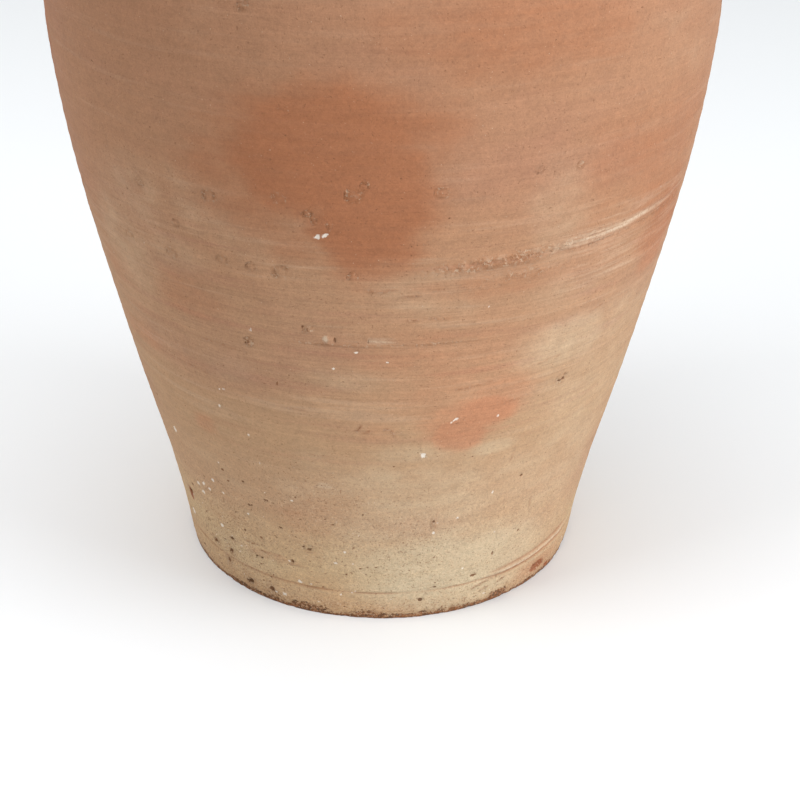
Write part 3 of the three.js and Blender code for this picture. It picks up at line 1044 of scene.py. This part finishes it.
def clay(name, shift=None, strength=0.0, brush=1.0):
    """Unglazed clay under a thin brushed slip, drawn in the jar's own coordinates."""
    s = Shader(name)
    height = s.node("ShaderNodeSeparateXYZ", {0: s.object}).outputs[2]

    streaks = s.streaks(9, 150, 3, 0.55, 0.1)
    lines = s.streaks(14, 620, 2, 0.6, 0.1)
    hair = s.streaks(26, 1500, 1, 0.5, 0.1)
    drift = s.streaks(5.5, 9, 4, 0.55)
    mottle = s.streaks(38, 60, 3, 0.6)
    blotch = s.streaks(110, 140, 2, 0.6)
    grain = s.noise(1100, 2, 0.7)
    dust = s.noise(420, 2, 0.6)
    brushed = s.times(s.ease(height, 0.12, 0.19, 0.3, 1.0), s.ease(height, 0.30, 0.34, 1.0, 0.35))
    brushed = s.math("MAXIMUM", brushed, s.ease(height, 0.44, 0.5, 0, 0.75))
    brushed = s.times(brushed, brush)
    sandy = s.ease(height, 0.17, 0.05)

    def centred(value, size):
        return s.times(s.math("SUBTRACT", value, 0.5), size)

    def frayed(mask, noise, low, size=1.0):
        """A mask whose edge is broken up by noise."""
        value = s.field(mask)
        return s.plus(value, s.times(noise, s.ease(value, low, 0.3, 0, size)))

    place = s.math("DIVIDE", s.plus(height, centred(drift, 0.08)), TALL)
    ramp = s.node("ShaderNodeValToRGB", {0: place})
    stops = ramp.color_ramp.elements
    while len(stops) < len(BODY):
        stops.new(0.5)
    for stop, (where, body) in zip(stops, BODY):
        stop.position, stop.color = where / TALL, tone(body)
    s.colour = ramp.outputs[0]

    s.paint(REDDISH, s.ease(drift, 0.5, 0.72, 0, 0.35))
    s.paint(PALE, s.ease(drift, 0.46, 0.28, 0, 0.25))
    s.paint(REDDISH, s.times(s.ease(streaks, 0.52, 0.72), s.times(brushed, 0.34)))
    s.paint(BRUSHED, s.times(s.ease(streaks, 0.46, 0.28), s.times(brushed, 0.2)))

    uneven = s.plus(centred(streaks, 0.3), centred(mottle, 0.45))
    patch = frayed("patch", uneven, 0.02)
    warm = s.mix(PEACH, ORANGE, s.ease(height, 0.21, 0.31))
    s.paint(warm, s.ease(patch, 0.0, 1.0))
    # Pale bloom, and the painted highlights drawn in the same mask.
    bloom_and_highlight = frayed("bloom_and_highlight", uneven, 0.02)
    s.paint(PALE, s.ease(bloom_and_highlight, 0.0, 1.1, 0, 0.9))

    if shift:
        s.paint(shift, strength)

    # Fine brush lines and the grain of the clay, as a lighter or darker shade of the colour.
    shade = s.times(centred(lines, 0.3), brushed)
    coarse, fine = s.ease(sandy, 0, 1, 0.36, 0.56), s.ease(sandy, 0, 1, 0.48, 0.8)
    layers = ((hair, 0.14), (mottle, 0.16), (blotch, 0.22), (dust, coarse), (grain, fine))
    for layer, size in layers:
        shade = s.plus(shade, centred(layer, size))
    bright = s.plus(1.0, shade)
    grey = s.node("ShaderNodeCombineColor", {0: bright, 1: bright, 2: bright}).outputs[0]
    s.paint(grey, 1.0, "MULTIPLY")

    # Marks: torn and scraped clay, with painted shade and painted highlights in the crumbs, chips, dirt
    # with painted shade by the handles' roots, sand and lime.
    ragged = s.plus(centred(dust, 1.6), centred(grain, 0.9))
    crumb_and_shade = s.math("MINIMUM", s.field("crumb_and_shade"), 1.0)
    s.paint(CRUMB_BROWN, s.times(crumb_and_shade, 0.3))
    # Where the clay is torn and crumbly, its brown and dark bits are painted shade, sunk a little in the
    # bump.
    torn_and_shade = s.times(crumb_and_shade, s.ease(ragged, 0.05, 0.3))
    torn_and_shade_colour = s.mix(PIT_RED, PIT_BROWN, s.ease(ragged, 0.2, 0.45))
    s.paint(torn_and_shade_colour, s.times(torn_and_shade, 0.6))
    # The pale bits among the crumbs are painted highlights.
    s.paint(SCRAPED_AND_HIGHLIGHT, s.times(crumb_and_shade, s.ease(ragged, -0.06, -0.25, 0, 0.65)))
    strands = s.times(s.ease(lines, 0.38, 0.56, 0.35, 1.0), s.ease(ragged, -0.3, 0.2, 0.5, 1.0))
    # Scraped pale clay, and the painted highlights on the foot's cord, the seam's lumps and the dragged
    # lump, drawn in the same mask.
    scraped = s.times(s.field("scrape_and_highlight"), strands)
    s.paint(SCRAPED_AND_HIGHLIGHT, s.math("MINIMUM", scraped, 0.75))
    fresh = s.mix(FRESH_CLAY, PIT_RED, s.ease(s.plus(mottle, ragged), 0.5, 1.0))
    s.paint(fresh, s.math("MINIMUM", s.field("fresh"), 1.0))
    # Crust and dirt on the foot, and the painted shade in the creases by the handles' roots.
    crust_and_shade = s.mix(CRUST, GRIME_AND_SHADE, s.ease(ragged, -0.15, 0.25))
    dirt_and_shade = frayed("grime_and_shade", ragged, 0.05, 1.2)
    s.paint(crust_and_shade, s.ease(dirt_and_shade, 0.25, 0.65, 0, 0.95))
    grit = s.field("grit")
    stain = s.ease(s.plus(mottle, centred(dust, 0.5)), 0.56, 0.7)
    s.paint(CRUMB_BROWN, s.times(stain, s.times(grit, 0.3)))
    sand = s.noise(800, 1, 0.5)
    brown = s.ease(s.times_plus(grit, 0.11, sand), 0.66, 0.78)
    s.paint(PIT_RED, s.times(brown, 0.5))
    cream = s.ease(s.times_plus(grit, -0.17, sand), 0.27, 0.16)
    s.paint(SCRAPED_AND_HIGHLIGHT, s.times(cream, 0.5))
    thick = s.times(grit, s.ease(blotch, 0.4, 0.6))
    tiny_dark = s.specks(290, 0.2, s.times_plus(thick, 0.4, 0.03))
    s.paint(PIT_BROWN, s.times(tiny_dark, 0.5))
    tiny_light = s.specks(230, 0.14, s.times_plus(sandy, 0.14, 0.001))
    s.paint(BRUSHED, s.times(tiny_light, 0.8))
    # Dark pits, and the painted shade by the dragged lump, drawn in the same mask.
    pit_and_shade = s.ease(s.plus(s.field("pit_and_shade"), ragged), 0.0, 0.35)
    dark = s.mix(PIT_RED, PIT_BROWN, s.ease(s.plus(mottle, centred(grain, 0.8)), 0.4, 0.6))
    s.paint(dark, s.times(pit_and_shade, 0.9))
    fleck = s.ease(s.plus(s.field("fleck"), ragged), 0.0, 0.5)
    s.paint(LIME_WHITE, s.times(fleck, 0.8))

    # Bump: brush lines, sand and the walls of the small pits, in metres.
    coarse, fine = s.ease(sandy, 0, 1, 0.00022, 0.0004), s.ease(sandy, 0, 1, 0.00012, 0.0002)
    layers = [(hair, 0.00006), (grain, fine), (dust, coarse), (s.times(crumb_and_shade, dust), 0.0026)]
    layers += [(torn_and_shade, -0.0005), (tiny_dark, -0.0004), (brown, -0.0003), (pit_and_shade, -0.0004)]
    bump = s.times(lines, s.times(brushed, 0.00022))
    for layer, depth in layers:
        bump = s.times_plus(layer, depth, bump)
    normal = s.node("ShaderNodeBump", {"Height": bump, "Distance": 1.0, "Strength": 0.8}).outputs[0]

    rough = s.plus(s.ease(streaks, 0.3, 0.7, 0.84, 0.94), centred(dust, 0.2))
    look = {"Base Color": s.colour, "Roughness": rough, "Specular IOR Level": 0.28, "Normal": normal}
    feed(s.surface, look)
    return s.material


materials = {
    "wall_clay": clay("wall_clay"),
    "foot_clay": clay("foot_clay", "bb9a74", 0.12),
    "collar_clay": clay("collar_clay", "a9805f", 0.25),
    "handle_clay": clay("handle_clay", "a87a5c", 0.3, brush=0.2),
}

jar = [make_base(), make_rim()]
jar += [make_wall(wall, wall_slot) for wall, wall_slot in WALLS.items()]
jar += [make_handle(handle, handle_azimuth) for handle, handle_azimuth in HANDLES.items()]


# ---- floor, light and camera

FLOOR_REACH = 60.0  # m each way
LAMP_DISTANCE = 2.6  # m from the middle of the jar
CAMERA_PLACE = (0, -1.068, 0.659)
CAMERA_TURN = (62.35, -0.58, -0.47)  # degrees

# The lamps: what each lights, azimuth and elevation in degrees, size in m, power and colour. The jar
# has a soft key from the right and a weak fill behind the left, and the floor has a lamp on each
# side, for a soft shadow on either side.
LAMPS = {
    "key": ("jar", 51, 34, 1.6, 71.5, (0.96, 1.0, 1.06)),
    "fill": ("jar", -112, 24, 1.2, 18, (1.0, 0.93, 0.86)),
    "floor_left": ("floor", -66, 34, 1.6, 33, (0.97, 1.0, 1.035)),
    "floor_right": ("floor", 66, 34, 1.6, 33, (0.97, 1.0, 1.035)),
}


def make_floor():
    """A plain pale studio floor."""
    mesh = bpy.data.meshes.new("floor")
    signs = ((-1, -1), (1, -1), (1, 1), (-1, 1))
    corners = [(x * FLOOR_REACH, y * FLOOR_REACH, 0) for x, y in signs]
    mesh.from_pydata(corners, [], [(0, 1, 2, 3)])
    floor = put("floor", mesh)
    material, surface = plain_material("floor_white")
    look = {"Base Color": (0.88, 0.895, 0.905, 1), "Roughness": 0.9, "Specular IOR Level": 0.2}
    feed(surface, look)
    mesh.materials.append(material)
    return floor


def lit_group(name, pieces):
    """A group of pieces that a lamp lights without lighting the rest."""
    group = bpy.data.collections.new(name)
    for piece in pieces:
        group.objects.link(piece)
    return group


def soft_box(name, group, azimuth, elevation, size, power, colour):
    """A square lamp that lights one group, from so many degrees round the jar and up from it."""
    lamp = bpy.data.lights.new(name, "AREA")
    lamp.shape, lamp.size, lamp.energy, lamp.color = "SQUARE", size, power, colour
    made = put(name, lamp)
    turn, rise = math.radians(azimuth), math.radians(elevation)
    back = (math.sin(turn) * math.cos(rise), -math.cos(turn) * math.cos(rise), math.sin(rise))
    made.location = [LAMP_DISTANCE * b for b in back]
    made.location.z += TALL / 2
    made.rotation_euler = (math.pi / 2 - rise, 0, turn)
    made.light_linking.receiver_collection = group


def make_lights(floor):
    """The lamps, and an even light on everything from above and all round."""
    groups = {"jar": lit_group("jar_lit", jar), "floor": lit_group("floor_lit", [floor])}
    for name, (lit, *settings) in LAMPS.items():
        soft_box(name, groups[lit], *settings)
    overhead = bpy.data.lights.new("overhead", "SUN")
    overhead.energy, overhead.angle = 1.5, math.radians(70)
    put("overhead", overhead)

    world = bpy.data.worlds.new("studio")
    bpy.context.scene.world = world
    world.use_nodes = True
    tree = world.node_tree
    direction = add_node(tree, "ShaderNodeTexCoord", {}).outputs["Generated"]
    up = add_node(tree, "ShaderNodeSeparateXYZ", {0: direction}).outputs[2]
    levels = {"Value": up, "From Min": 0.05, "From Max": 0.42, "To Min": 0.7, "To Max": 0.29}
    fade = add_node(tree, "ShaderNodeMapRange", levels, interpolation_type="SMOOTHSTEP")
    sky = {"Strength": fade.outputs["Result"], "Color": (0.985, 1.0, 1.004, 1)}
    feed(tree.nodes["Background"], sky)


def make_camera():
    """A little over a metre in front of the jar, looking down at its lower half."""
    lens = bpy.data.cameras.new("camera")
    lens.lens, lens.sensor_width, lens.clip_start = 70.0, 36.0, 0.05
    camera = put("camera", lens)
    camera.location = CAMERA_PLACE
    camera.rotation_euler = [math.radians(angle) for angle in CAMERA_TURN]
    bpy.context.scene.camera = camera


make_lights(make_floor())
make_camera()
bpy.context.scene.view_settings.view_transform = "Standard"
